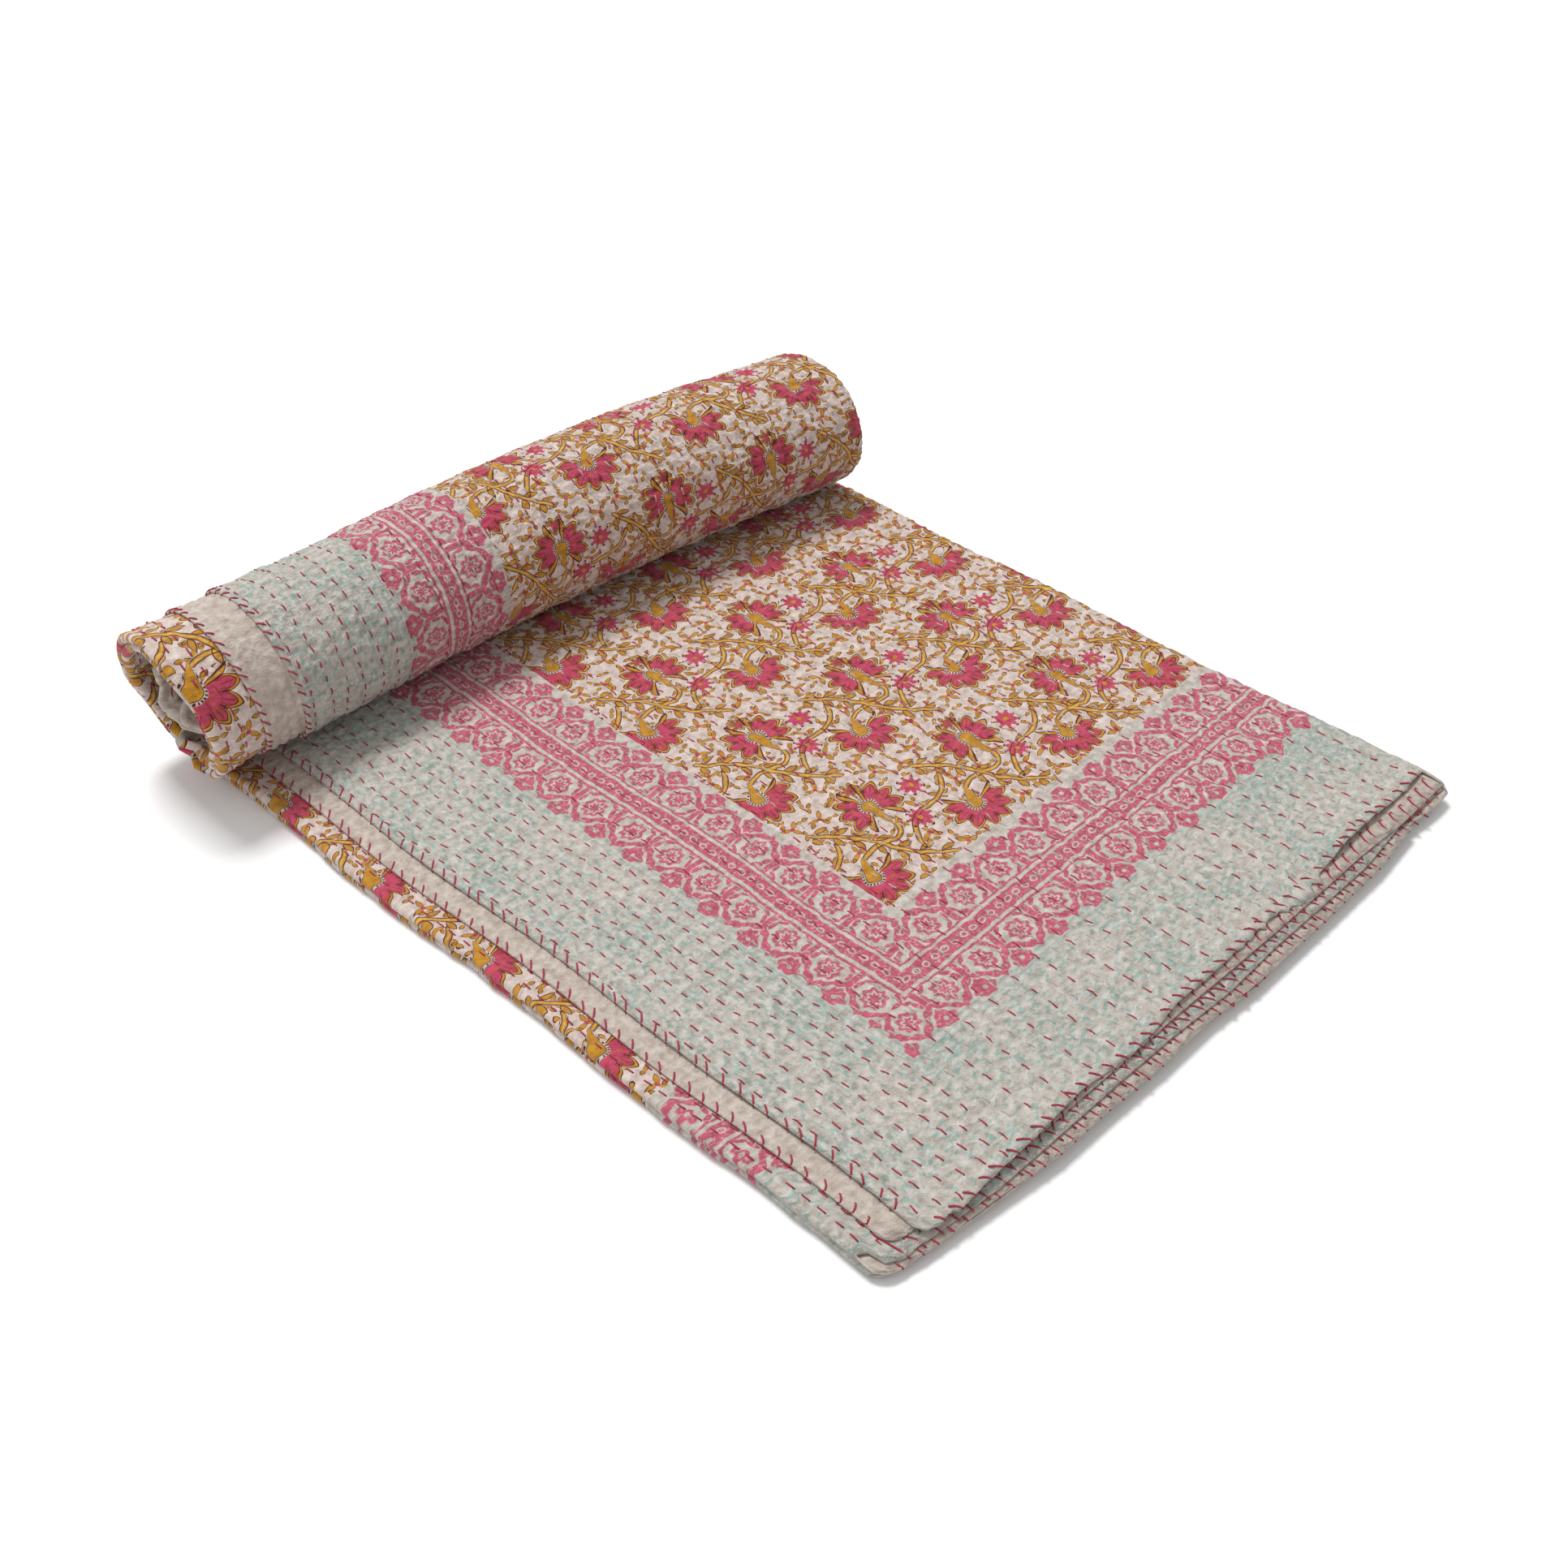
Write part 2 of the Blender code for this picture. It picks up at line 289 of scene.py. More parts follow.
def folded(cloth, along, turned, lift):
    """Points of the sheet: cloth is the distance across it from the upper hem, and lift how
    far a point stands out of the sheet's middle on the printed side."""
    cloth, along, turned, lift = np.broadcast_arrays(cloth, along, turned, lift)
    first, last = hem_x(along, turned)
    x = np.zeros(cloth.shape)
    height = np.zeros(cloth.shape)
    across = np.zeros(cloth.shape)
    up = np.zeros(cloth.shape)
    first_stretch = (RIGHT_TURN - first) / (RIGHT_TURN - UPPER_HEMS[0])
    last_stretch = (RIGHT_TURN - last) / (RIGHT_TURN - UPPER_HEMS[1])
    runs = {  # where each layer's run has the cloth, the hemmed ones drawn out to their hems
        0: RIGHT_TURN - (RIGHT_TURN - cloth) * first_stretch,
        3: RIGHT_TURN - (cloth - START_B),
        2: LEFT_TURN + (cloth - START_C),
        1: RIGHT_TURN - (cloth - START_D) * last_stretch,
    }
    spans = [
        # start, end, heading, layer, and for a turn the layer after it
        (-1.0, RIGHT_TURN, 1, 0, None),
        (RIGHT_TURN, START_B, 1, 0, 3),
        (START_B, START_B + RUN_WIDTH, -1, 3, None),
        (START_B + RUN_WIDTH, START_C, -1, 3, 2),
        (START_C, START_C + RUN_WIDTH, 1, 2, None),
        (START_C + RUN_WIDTH, START_D, 1, 2, 1),
        (START_D, 9.0, -1, 1, None),
    ]
    for start, end, heading, layer, following in spans:
        here = (cloth >= start) & (cloth <= end)
        if following is None:
            values = (runs[layer], layer_height(layer), 0.0, float(heading))
        else:
            low, high = layer_height(layer), layer_height(following)
            radius, middle = (low - high) / 2, (low + high) / 2
            angle = math.pi * ((cloth - start) / (end - start))
            base = RIGHT_TURN if heading > 0 else LEFT_TURN
            values = (base + heading * abs(radius) * np.sin(angle),
                      middle + radius * np.cos(angle),
                      math.copysign(1, radius) * np.sin(angle), heading * np.cos(angle))
        for target, value in zip((x, height, across, up), values):
            target[here] = np.broadcast_to(value, cloth.shape)[here]
    above = height + up * lift - PILE / 2
    height = PILE / 2 + above * np.cos(turned)
    return place(x + across * lift, height, along, above * np.sin(turned))


def page_length(along):
    """The distance from a page's front hem, along the cloth."""
    turns = np.maximum(along, 0)
    return FLAT_LENGTH * (np.minimum(along, 0) + 1) + FRONT_EDGE + math.tau * (
        WOUND_RADIUS * turns - WINDING * turns * turns / 2)


def along_at(distance):
    """The along value at a distance from the front hem, on the flat."""
    return (distance - FRONT_EDGE) / FLAT_LENGTH - 1


PAGE = float(page_length(np.array(TURNS)))
FOLD_LENGTH = math.pi * PILE / 2
CLOTH_LENGTH = 2 * PAGE + FOLD_LENGTH


# ------------------------------ relief
CREASES = [
    # from u, v, to u, v, width, height
    (0.010, 0.580, 0.150, 0.470, 0.010, 0.0011),
    (0.020, 0.300, 0.090, 0.240, 0.008, 0.0008),
    (0.330, 0.050, 0.520, 0.020, 0.011, 0.0009),
    (0.250, 0.600, 0.440, 0.330, 0.012, 0.0008),
    (0.060, 0.120, 0.180, 0.060, 0.009, 0.0008),
    (0.420, 0.520, 0.530, 0.260, 0.010, 0.0009),
]


def creases(u, v):
    """The soft creases left by folding, each a ridge with a shallow trough beside it."""
    total = 0
    for u0, v0, u1, v1, width, height in CREASES:
        length = math.hypot(u1 - u0, v1 - v0)
        du, dv = (u1 - u0) / length, (v1 - v0) / length
        along = (u - u0) * du + (v - v0) * dv
        off = (v - v0) * du - (u - u0) * dv
        off = off + 0.004 * np.sin(along * 40)
        ends = smooth(along / 0.03) * smooth((length - along) / 0.03)
        trough = 0.7 * np.exp(-(((off - 1.3 * width) / width) ** 2))
        total = total + height * (np.exp(-((off / width) ** 2)) - trough) * ends
    return total


def row_wander(v, row):
    """How far a hand-sewn row strays from its line."""
    return 0.0009 * np.sin(v * 19 + row * 1.7) + 0.0007 * np.sin(v * 47 + row * 2.9)


def puckers(u, v, row, off):
    """Small folds across each row of stitches, pulled up by its thread."""
    fold = np.sin(math.tau * v / (STITCH_PITCH * 0.52) + row * 5.1 + 1.5 * np.sin(v * 61 + row))
    return fold * np.exp(-((off / PUCKER_WIDTH) ** 2))


def relief(u, v, seed):
    """How far the quilted cloth stands out at its rows of stitches and its wrinkles."""
    row = np.rint(u / ROW_PITCH - 0.5)
    off = u - (row + 0.5) * ROW_PITCH - row_wander(v, row)
    valley = np.exp(-((off / VALLEY_WIDTH) ** 2))
    pull = 0.5 + 0.5 * np.cos(math.tau * v / STITCH_PITCH + row * 2.4)
    puff = 0.00055 - 0.00125 * valley * (0.45 + 0.55 * pull)
    wrinkles = 0.00050 * ripples(u, v, 0.045, seed)
    wrinkles = wrinkles + 0.00040 * ripples(u, v * 1.6, 0.016, seed + 1)
    return puff + 0.00034 * puckers(u, v, row, off) + wrinkles


def ridges(u, v, seed):
    """Fine pleats side by side along a hem, running on and dying away unevenly."""
    wander = 0.0022 * ripples(v, 0 * v, 0.160, seed)
    strength = 0.9 + 0.4 * ripples(u, v, 0.060, seed + 1)
    return PLEAT_HEIGHT * strength * np.sin(math.tau * (u + wander) / PLEAT_PITCH)


# ------------------------------ meshes
FLOWERED, BORDERED, REVERSE = range(3)  # the sheet's finishes, in the order of its materials


def grid_mesh(rows, columns):
    """A flat grid to be shaped, and each vertex's row and column in it."""
    mesh = bmesh.new()
    bmesh.ops.create_grid(mesh, x_segments=columns - 1, y_segments=rows - 1, size=0.5)
    mesh.verts.index_update()
    places = [((v.co.y + 0.5) * (rows - 1), (v.co.x + 0.5) * (columns - 1)) for v in mesh.verts]
    order = np.rint(np.array(places)).astype(int)
    return mesh, order


def as_piece(mesh, name, materials):
    """The finished mesh as a smoothly shaded object in the scene."""
    data = bpy.data.meshes.new(name)
    mesh.to_mesh(data)
    mesh.free()
    data.polygons.foreach_set("use_smooth", np.ones(len(data.polygons), dtype=bool))
    for material in materials:
        data.materials.append(material)
    obj = bpy.data.objects.new(name, data)
    bpy.context.scene.collection.objects.link(obj)
    return obj


def strip(name, cloth, along, turned, lift, border, lattice, materials):
    """A piece of the sheet: cloth across it, along and turned for its rows. The reverse shows on
    the core's folds, which are rolled inside out."""
    mesh, order = grid_mesh(len(along), len(cloth))
    row, column = order[:, 0], order[:, 1]
    u, a, t = cloth[column], along[row], turned[row]
    points = folded(u, a, t, lift(u, a))
    points[:, 2] = np.maximum(points[:, 2], CLOTH / 2)
    corners = np.array([[v.index for v in face.verts] for face in mesh.faces])
    maps = {"border": np.stack(border(u, a), axis=-1),
            "lattice": np.stack(lattice(u, a, t), axis=-1)}
    centres = maps["border"][corners].mean(axis=1)
    plain = (centres[:, 0] < BORDER) | (centres[:, 1] < FRONT_BORDER)
    in_core = a[corners].mean(axis=1) > PRINT_END
    obj = as_piece(mesh, name, materials)
    data = obj.data
    data.vertices.foreach_set("co", points.astype(np.float32).ravel())
    at_corner = np.zeros(len(data.loops), dtype=np.int32)
    data.loops.foreach_get("vertex_index", at_corner)
    for map_name, values in maps.items():
        layer = data.uv_layers.new(name=map_name)
        layer.data.foreach_set("uv", values[at_corner].astype(np.float32).ravel())
    finish = np.where(in_core, REVERSE, np.where(plain, BORDERED, FLOWERED))
    data.polygons.foreach_set("material_index", finish.astype(np.int32))
    data.update()
    shell = obj.modifiers.new("cloth", "SOLIDIFY")
    shell.thickness = CLOTH
    shell.offset = 0
    shell.material_offset = shell.material_offset_rim = len(materials)  # ends at the last
    return obj


def spread(*knots):
    """Numbers from knot to knot, each pair with its count of steps between."""
    values = [np.array([knots[0]])]
    start = knots[0]
    for steps, end in zip(knots[1::2], knots[2::2]):
        values.append(np.linspace(start, end, steps + 1)[1:])
        start = end
    return np.concatenate(values)


# ------------------------------ patterns
def doing(operation):
    return lambda field, *others: field.made(operation, *others)


class Field:
    """A number that varies over a surface, worked out by a material's nodes."""

    def __init__(self, tree, socket):
        self.tree, self.socket = tree, socket

    def made(self, operation, *others, clamp=False):
        node = self.tree.nodes.new("ShaderNodeMath")
        node.operation = operation
        node.use_clamp = clamp
        for slot, value in zip(node.inputs, (self, *others)):
            if isinstance(value, Field):
                self.tree.links.new(value.socket, slot)
            else:
                slot.default_value = value
        return Field(self.tree, node.outputs[0])

    __add__ = __radd__ = doing("ADD")
    __sub__ = doing("SUBTRACT")
    __mul__ = __rmul__ = doing("MULTIPLY")
    __truediv__ = doing("DIVIDE")
    __pow__ = doing("POWER")
    __abs__ = doing("ABSOLUTE")
    sine = doing("SINE")
    root = doing("SQRT")
    angle = doing("ARCTAN2")  # of this as the height, over the other
    least = doing("MINIMUM")
    most = doing("MAXIMUM")
    whole = doing("FLOOR")

    def __rsub__(self, other):
        return self.made("MULTIPLY_ADD", -1.0, other)

    def wrapped(self, period):
        return self.made("WRAP", period / 2, -period / 2)

    def below(self, edge, blur):
        """1 where this is under edge and 0 where it is over it, blurred."""
        if isinstance(edge, Field):
            return (edge - self).made("MULTIPLY_ADD", 1 / blur, 0.5, clamp=True)
        return self.made("MULTIPLY_ADD", -1 / blur, edge / blur + 0.5, clamp=True)


def turned_by(x, y, degrees):
    c, s = math.cos(math.radians(degrees)), math.sin(math.radians(degrees))
    return x * c + y * s, y * c - x * s


def distance(x, y):
    return (x * x + y * y).root()


def line(off, width, blur):
    return abs(off).below(width / 2, blur)


def teeth(theta, count):
    """0 at the middle of each of count teeth round a ring, 1 between them."""
    return abs((theta * (count / math.tau)).wrapped(1.0)) * 2


# ------------------------------ motifs, in millimetres
REPEAT = (106.5, 110.0)  # the floral repeat, across and along
INK_EDGE = 0.35  # how soft an inked edge is


class Art:
    """The masks of a print's inks, each gathered from several shapes."""

    def __init__(self):
        self.masks = {}

    def add(self, ink, mask):
        self.masks[ink] = self.masks[ink].most(mask) if ink in self.masks else mask


def petals(art, r, theta, count, inner, outer, opening):
    """A fan of pointed petals, magenta inside ochre tips; gives how far inside it a point is."""
    across = teeth(theta, count)
    inside = (outer - r - across ** 1.5 * (outer - inner)).least((opening - abs(theta)) * 14)
    art.add("ochre", (inside * -1).below(0.0, INK_EDGE))
    art.add("magenta", (inside * -1).below(-2.9, INK_EDGE))
    art.add("brown", line(inside - 0.1, 1.0, INK_EDGE).most(line(inside - 3.0, 0.8, INK_EDGE)))
    vein = (across * -1).below(-0.88, 0.1) * line(r - inner + 1.5, 6.5, 1.0)
    streaks = teeth(theta, count * 3).below(0.20, 0.16) * line(r - inner + 1.0, 8.0, 1.5)
    vein = vein.most(streaks * (inside * -1).below(-3.4, 0.6) * 0.6)
    art.add("brown", vein * (inside * -1).below(-0.5, 1.0))
    return inside


def eye(art, x, y, degrees, radius, tail):
    """A flower's drop-shaped eye, ringed by cream with dark teeth."""
    along, side = turned_by(x, y, degrees)
    narrow = (1 - along.most(0.0) * (1 / tail)).most(0.08)
    side = side / narrow
    r = distance(along.least(0.0), side) + (along - tail * 0.9).most(0.0) * 4
    art.add("cream", r.below(radius * 1.5, INK_EDGE))
    beads = teeth(side.angle(along), 20).below(0.5, 0.3)
    ring = line(r - radius * 1.30, radius * 0.34, INK_EDGE) * beads
    art.add("dark", ring.most(line(r - radius, 0.55, INK_EDGE)))
    art.add("eye", r.below(radius - 0.1, INK_EDGE))


def sprigs(art, u, v, free, count, reach, leaves, turn):
    """Small leafy fans on their own grid, each turned its own way, where nothing else is."""
    pitch_u, pitch_v = REPEAT[0] / count, REPEAT[1] / count
    row = (v * (1 / pitch_v)).whole()
    shifted = u + (row * turn).sine() * 6
    spin = (shifted * (1 / pitch_u)).whole() * 2.4 + row * turn
    px, py = (shifted - pitch_u / 2).wrapped(pitch_u), (v - pitch_v / 2).wrapped(pitch_v)
    py = py + (spin * 1.3).sine() * 3.2
    theta = py.angle(px) + spin.sine() * 3
    across = teeth(theta, leaves)
    r = distance(px, py)
    inside = (reach - r - across * reach * 1.25).least(free * 9 - 3)
    art.add("ochre", (inside * -1).below(-0.35, INK_EDGE))
    art.add("brown", line(inside - 0.3, 0.8, INK_EDGE))
    return r


def floral_art(u, v):
    """Drooping and upright flowers on a branch with a curling vine, asters and sprigs."""
    art = Art()
    ax, ay = (u - 192.0).wrapped(REPEAT[0]), (v - 208.0).wrapped(REPEAT[1])
    bx, by = (u - 241.0).wrapped(REPEAT[0]), (v - 257.0).wrapped(REPEAT[1])
    jx, jy = (u - 219.6).wrapped(REPEAT[0]), (v - 224.0).wrapped(REPEAT[1])
    sx, sy = (u - 272.6).wrapped(REPEAT[0]), (v - 228.0).wrapped(REPEAT[1])
    # the branch through the joint, the vine between the asters, and the two flower stalks
    along, off = turned_by(jx, jy, -54.5)
    off = off + (along * (math.tau / 84)).sine() * 2.6
    branch = abs(off) + (abs(along) - 52).most(0.0)
    slope = sx * sx
    rise = sx * (slope * 0.00062 + 0.02)
    vine = abs(sy - rise) / ((slope * 0.0019 + 0.02) ** 2 + 1).root()
    vine = vine + (abs(sx + 2) - 31).most(0.0)
    droop_stalk = abs(distance(ax - 20, ay + 13) - 30) + (abs(ax - 20) - 12).most(0.0)
    droop_stalk = droop_stalk + (ay * -1).most(0.0)
    up_stalk = abs(distance(bx + 10, by + 25) - 11) + (by + 25).most(0.0)
    stem = branch.least(vine).least(droop_stalk).least(up_stalk)
    art.add("ochre", stem.below(1.55, INK_EDGE))
    art.add("light", stem.below(0.5, INK_EDGE))
    art.add("brown", line(stem - 1.8, 0.75, INK_EDGE))
    # leaves in pairs along the branch
    lx, ly = turned_by(along.wrapped(15.0), abs(off) - 5.6, 38)
    leaf = lx * lx * (1 / 30) + abs(ly) * (1 / 2.3) + (abs(along) - 48).most(0.0)
    leaf = leaf + (abs(off) - 11).most(0.0)
    art.add("ochre", leaf.below(0.9, 0.15))
    art.add("brown", line(leaf - 1.0, 0.34, 0.15))
    # flowers: each gives how far inside it a point is
    tx, ty = turned_by(ax, ay + 2.0, -105)
    inside = petals(art, distance(tx, ty), ty.angle(tx), 11, 19.0, 27.0, 2.2)
    tx, ty = turned_by(abs(bx), by + 1.0, 9)
    inside = inside.most(petals(art, distance(tx, ty), ty.angle(tx), 11, 19.0, 26.5, 1.15))
    tx, ty = bx - 2, by - 20
    inside = inside.most(petals(art, distance(tx, ty), ty.angle(tx), 7, 3.4, 8.6, 3.2) - 1.0)
    for x, y in ((ax + 20.5, ay - 42.0), (ax + 40.0, ay - 15.0)):
        r = distance(x, y)
        rim = 10.0 - r - teeth(y.angle(x), 9) * 3.8
        art.add("magenta", (rim * -1).below(0.0, 0.5))
        art.add("brown", line(r - 10.2, 1.3, INK_EDGE) * (rim * -1).below(1.6, 0.4))
        art.add("eye", r.below(1.9, INK_EDGE))
        inside = inside.most(9.2 - r)
    free = inside.below(-2.0, 0.6) * (stem * -1).below(-2.6, 0.5) * (leaf * -1).below(-1.3, 0.3)
    r = sprigs(art, u, v, free, 5, 9.4, 3, 1.9)
    art.add("magenta", r.below(1.7, INK_EDGE) * free)
    sprigs(art, u + 9.0, v + 13.0, free, 8, 5.4, 2, 2.7)
    eye(art, ax + 1, ay + 1, 66, 5.4, 21.0)
    eye(art, bx, by, -89, 5.2, 27.0)
    return art


MOTIF = 36.8  # pitch of the border's repeat
LOTUS_LINE = 131.4  # the middle of the border, from the hem


def border_art(bu, bv):
    """A lotus border: two facing rows of lotuses in a wavy frame, with a chain between. Gives
    also how far in from the hem a point is, and how far along it."""
    art = Art()
    side = bu.below(bv, 0.01)
    across = bu.least(bv)
    front = bu - 107.7
    corner = bv.below(121.3, 0.01)
    repeat = front + side * (bv + corner * 27.2 - 134.9 - front)
    size = abs(repeat.wrapped(MOTIF))
    middle = abs(across - LOTUS_LINE)
    q = middle - 7.9  # from the cream line out
    notch = MOTIF / 2 - size
    frame = abs(q - 31.4 + size * 0.84 + (size * (math.tau * 4 / MOTIF)).sine() * 1.1) * 0.77
    frame = frame.least(notch + (q - 17.0).most(0.0))
    rows = frame.below(2.3, 0.7).most(line(q - 1.6, 2.2, 0.6))
    rx, ry = size * (1 / 8.6), (q - 14.2) * (1 / 9.6)
    lotus = distance(rx, ry) + teeth(ry.angle(rx), 8) * 0.26
    rows = rows.most(lotus.below(1.06, 0.12))
    for at_size, at_q, tilt in ((10.6, 4.8, 28), (14.0, 11.5, 78)):  # two leaves each side
        lx, ly = turned_by(size - at_size, q - at_q, tilt)
        rows = rows.most((lx * lx * (1 / 18) + ly * ly * (1 / 2.6)).below(1.0, 0.25))
    tq = q - 30.4
    trefoil = distance(notch * (1 / 8.6), tq * (1 / 7.0)) + teeth(tq.angle(notch), 6) * 0.3
    rows = rows.most(trefoil.below(1.1, 0.12)).most((notch + abs(q - 24.5)).below(3.2, 0.7))
    holes = line(lotus - 0.62, 0.17, 0.09)
    holes = holes.most(distance(notch, q - 30.2).below(1.6, 0.6))
    rows = rows * (1 - holes) * line(q - 18.6, 35.6, 0.6)
    cx = repeat.wrapped(MOTIF / 4)
    oval = (cx * cx * (1 / 9.0) + middle * middle * (1 / 5.2)).root()
    chain = line(oval - 0.85, 0.45, 0.2)
    band = middle.below(6.2, 0.6) * (1 - chain * 0.95)
    art.add("pink", rows.most(band))
    return art, across, bu + side * (bv - bu)


# ------------------------------ materials
def colour(*shades):
    """A colour as seen on a screen, in red, green and blue, as linear light."""
    return (*(((shade / 255 + 0.055) / 1.055) ** 2.4 for shade in shades), 1.0)


GROUND = colour(214, 208, 201)
FLORAL_GROUND = colour(230, 214, 207)
PINK = colour(206, 92, 120)
MAGENTA = colour(206, 72, 108)
OCHRE = colour(208, 150, 46)
LIGHT = colour(232, 190, 96)
BROWN = colour(94, 26, 18)
CREAM = colour(216, 206, 197)
TEAL = colour(128, 180, 172)
THREAD_PINK = colour(206, 72, 100)
THREAD_WHITE = colour(240, 236, 232)
# painted shade: the colour multiplied into the cloth's hollows, standing in for the shade that
# falls there
HOLLOW_SHADE = colour(196, 186, 178)
AGED = colour(188, 172, 160)
INK = {"ochre": OCHRE, "light": LIGHT, "magenta": MAGENTA, "rust": colour(204, 88, 80),
       "brown": BROWN, "cream": CREAM, "eye": colour(208, 150, 40), "dark": BROWN}
RUBBED = ("ochre", "magenta")  # the inks that are worn where the cloth rubs
# the painted shade is multiplied in where the cloth lies lower than this
HOLLOW_SHADE_LEVEL = 1.85  # cloth_height under which the cloth lies in a hollow
COTTON_BUMP = 0.0011  # depth of the printed cotton's weave and puckers, in metres
CREAM_BUMP = 0.0009
THREAD_BUMP = 0.0002


class Cotton:
    """A cotton finish being put together: its nodes, its base colour so far and its bump."""

    def __init__(self, name, base, roughness=0.92):
        self.material = bpy.data.materials.new(name)
        self.material.use_nodes = True
        self.tree = self.material.node_tree
        self.shader = self.tree.nodes["Principled BSDF"]
        for socket, value in (("Roughness", roughness), ("Specular IOR Level", 0.25),
                              ("Sheen Weight", 0.15), ("Sheen Roughness", 0.5)):
            self.shader.inputs[socket].default_value = value
        self.base = self.node("RGB").outputs[0]
        self.base.default_value = base

    def node(self, kind):
        return self.tree.nodes.new("ShaderNode" + kind)

    def link(self, source, slot):
        self.tree.links.new(source, slot)

    def coordinates(self, layer):
        node = self.node("UVMap")
        node.uv_map = layer
        split = self.node("SeparateXYZ")
        self.link(node.outputs[0], split.inputs[0])
        u, v = (Field(self.tree, split.outputs[at]) for at in (0, 1))
        return u, v, node.outputs[0]

    def joined(self, x, y):
        """Two fields as one vector."""
        node = self.node("CombineXYZ")
        self.link(x.socket, node.inputs[0])
        self.link(y.socket, node.inputs[1])
        return node.outputs[0]

    def noise(self, vector, scale, detail=2.0, colours=False):
        node = self.node("TexNoise")
        node.inputs["Scale"].default_value = scale
        node.inputs["Detail"].default_value = detail
        self.link(vector, node.inputs["Vector"])
        if not colours:
            return Field(self.tree, node.outputs["Fac"])
        split = self.node("SeparateColor")
        self.link(node.outputs["Color"], split.inputs[0])
        return [Field(self.tree, split.outputs[at]) - 0.5 for at in range(3)]

    def paint(self, tint, mask, blend="MIX"):
        """Lays a colour over the base where the mask is 1."""
        mix = self.node("Mix")
        mix.data_type = "RGBA"
        mix.blend_type = blend
        self.link(mask.socket, mix.inputs[0])
        self.link(self.base, mix.inputs[6])
        mix.inputs[7].default_value = tint
        self.base = mix.outputs[2]

    def finish(self, height, depth):
        """Paints shade into the hollows, where the cloth lies low, and adds the bump."""
        # painted shade: the hollows of the cloth are darkened by multiplying in the shade colour,
        # as if shadowed
        self.paint(HOLLOW_SHADE, height.below(HOLLOW_SHADE_LEVEL, 1.6) * 0.9, "MULTIPLY")
        bump = self.node("Bump")
        bump.inputs["Strength"].default_value = 1.0
        bump.inputs["Distance"].default_value = depth
        self.link(height.socket, bump.inputs["Height"])
        self.link(bump.outputs[0], self.shader.inputs["Normal"])
        self.link(self.base, self.shader.inputs["Base Color"])
        return self.material


def cloth_height(cotton, u, v, vector):
    """Weave, slubs and the small puckers between the stitches, mostly between 1 and 3."""
    weave = (u * (math.tau / WEAVE)).sine() * (v * (math.tau / WEAVE)).sine()
    slubs = cotton.noise(vector, 900.0, 1.0)
    pucker = cotton.noise(vector, 170.0, 2.0)
    return weave * 0.12 + slubs * 0.4 + pucker * 3.2


def cream_cotton():
    cotton = Cotton("cream_cotton", CREAM)
    u, v, vector = cotton.coordinates("lattice")
    cotton.paint(AGED, (cotton.noise(vector, 26.0) * 0.5).most(0.0))
    return cotton.finish(cloth_height(cotton, u, v, vector), CREAM_BUMP)


def inked(cotton, u, v, vector):
    """A print's own coordinates in millimetres, wavering as hand-printed blocks do."""
    wobble = cotton.noise(vector, 55.0, 3.0, colours=True)
    return u * 1000 + wobble[0] * 3.0, v * 1000 + wobble[1] * 3.0


def border_print():
    cotton = Cotton("border_print", GROUND)
    u, v, vector = cotton.coordinates("lattice")
    bu, bv = inked(cotton, *cotton.coordinates("border")[:2], vector)
    art, across, beside = border_art(bu, bv)
    worn = cotton.noise(vector, 420.0, 3.0)
    dabs = cotton.noise(cotton.joined(across, beside * 0.5), 0.34, 1.0)
    places = cotton.noise(vector, 20.0, 1.0)
    dabs = (dabs * -1 - places * 0.35).below(-0.745, 0.12)
    cotton.paint(TEAL, dabs * across.below(86.0, 3.0) * 0.55)
    cotton.paint(TEAL, (places * -1).below(-0.55, 0.5) * across.below(100.0, 6.0) * 0.14)
    cotton.paint(TEAL, line(across - 90.5, 2.0, 1.6).most(line(across - 85.5, 1.0, 1.2)) * 0.5)
    cotton.paint(PINK, art.masks["pink"] * worn.below(0.66, 0.30) * 0.97)
    return cotton.finish(cloth_height(cotton, u, v, vector), COTTON_BUMP)


def floral_print():
    cotton = Cotton("floral_print", FLORAL_GROUND)
    u, v, vector = cotton.coordinates("lattice")
    art = floral_art(*inked(cotton, u, v, vector))
    worn = cotton.noise(vector, 380.0, 3.0).below(0.78, 0.4)
    blotches = (cotton.noise(vector, 210.0) * -1).below(-0.58, 0.12)
    art.masks["rust"] = art.masks["magenta"] * blotches
    for ink, tint in INK.items():
        cotton.paint(tint, art.masks[ink] * worn if ink in RUBBED else art.masks[ink])
    return cotton.finish(cloth_height(cotton, u, v, vector), COTTON_BUMP)


def thread(name, tint):
    cotton = Cotton(name, tint, 0.7)
    strands = cotton.noise(cotton.node("TexCoord").outputs["Object"], 2200.0, 1.0)
    cotton.paint(tuple(c * 0.6 for c in tint[:3]) + (1.0,), strands * 0.4)
    return cotton.finish(strands, THREAD_BUMP)


# ------------------------------ pieces
HEM_CURL = 0.0045  # the width of the hems that is pulled down
ROLL_SHIFT = 0.0055  # the border lies this much nearer the hem on the roll
ROLL_SCALE = 45.0  # the border's pitch along the roll's outside, where it is MOTIF on the flat
TOP_END = 0.15  # the turns at which the top face gives way to the inner face
ROLL_END = 1.03  # and the roll's face
UNDER_LAP = -0.05  # the roll's face reaches this far on under the flat
SIDE_LAP = 0.05  # both reach this far round onto the next run


def hem_curl(u, v, hem, front):
    """Bends the hems' last few millimetres down, as their binding stitches pull them."""
    across = np.clip(1 - (u - hem) / HEM_CURL, 0, 1) ** 2
    ahead = np.clip(1 - (v - front) / HEM_CURL, 0, 1) ** 2
    return -0.0009 * np.maximum(across, ahead)


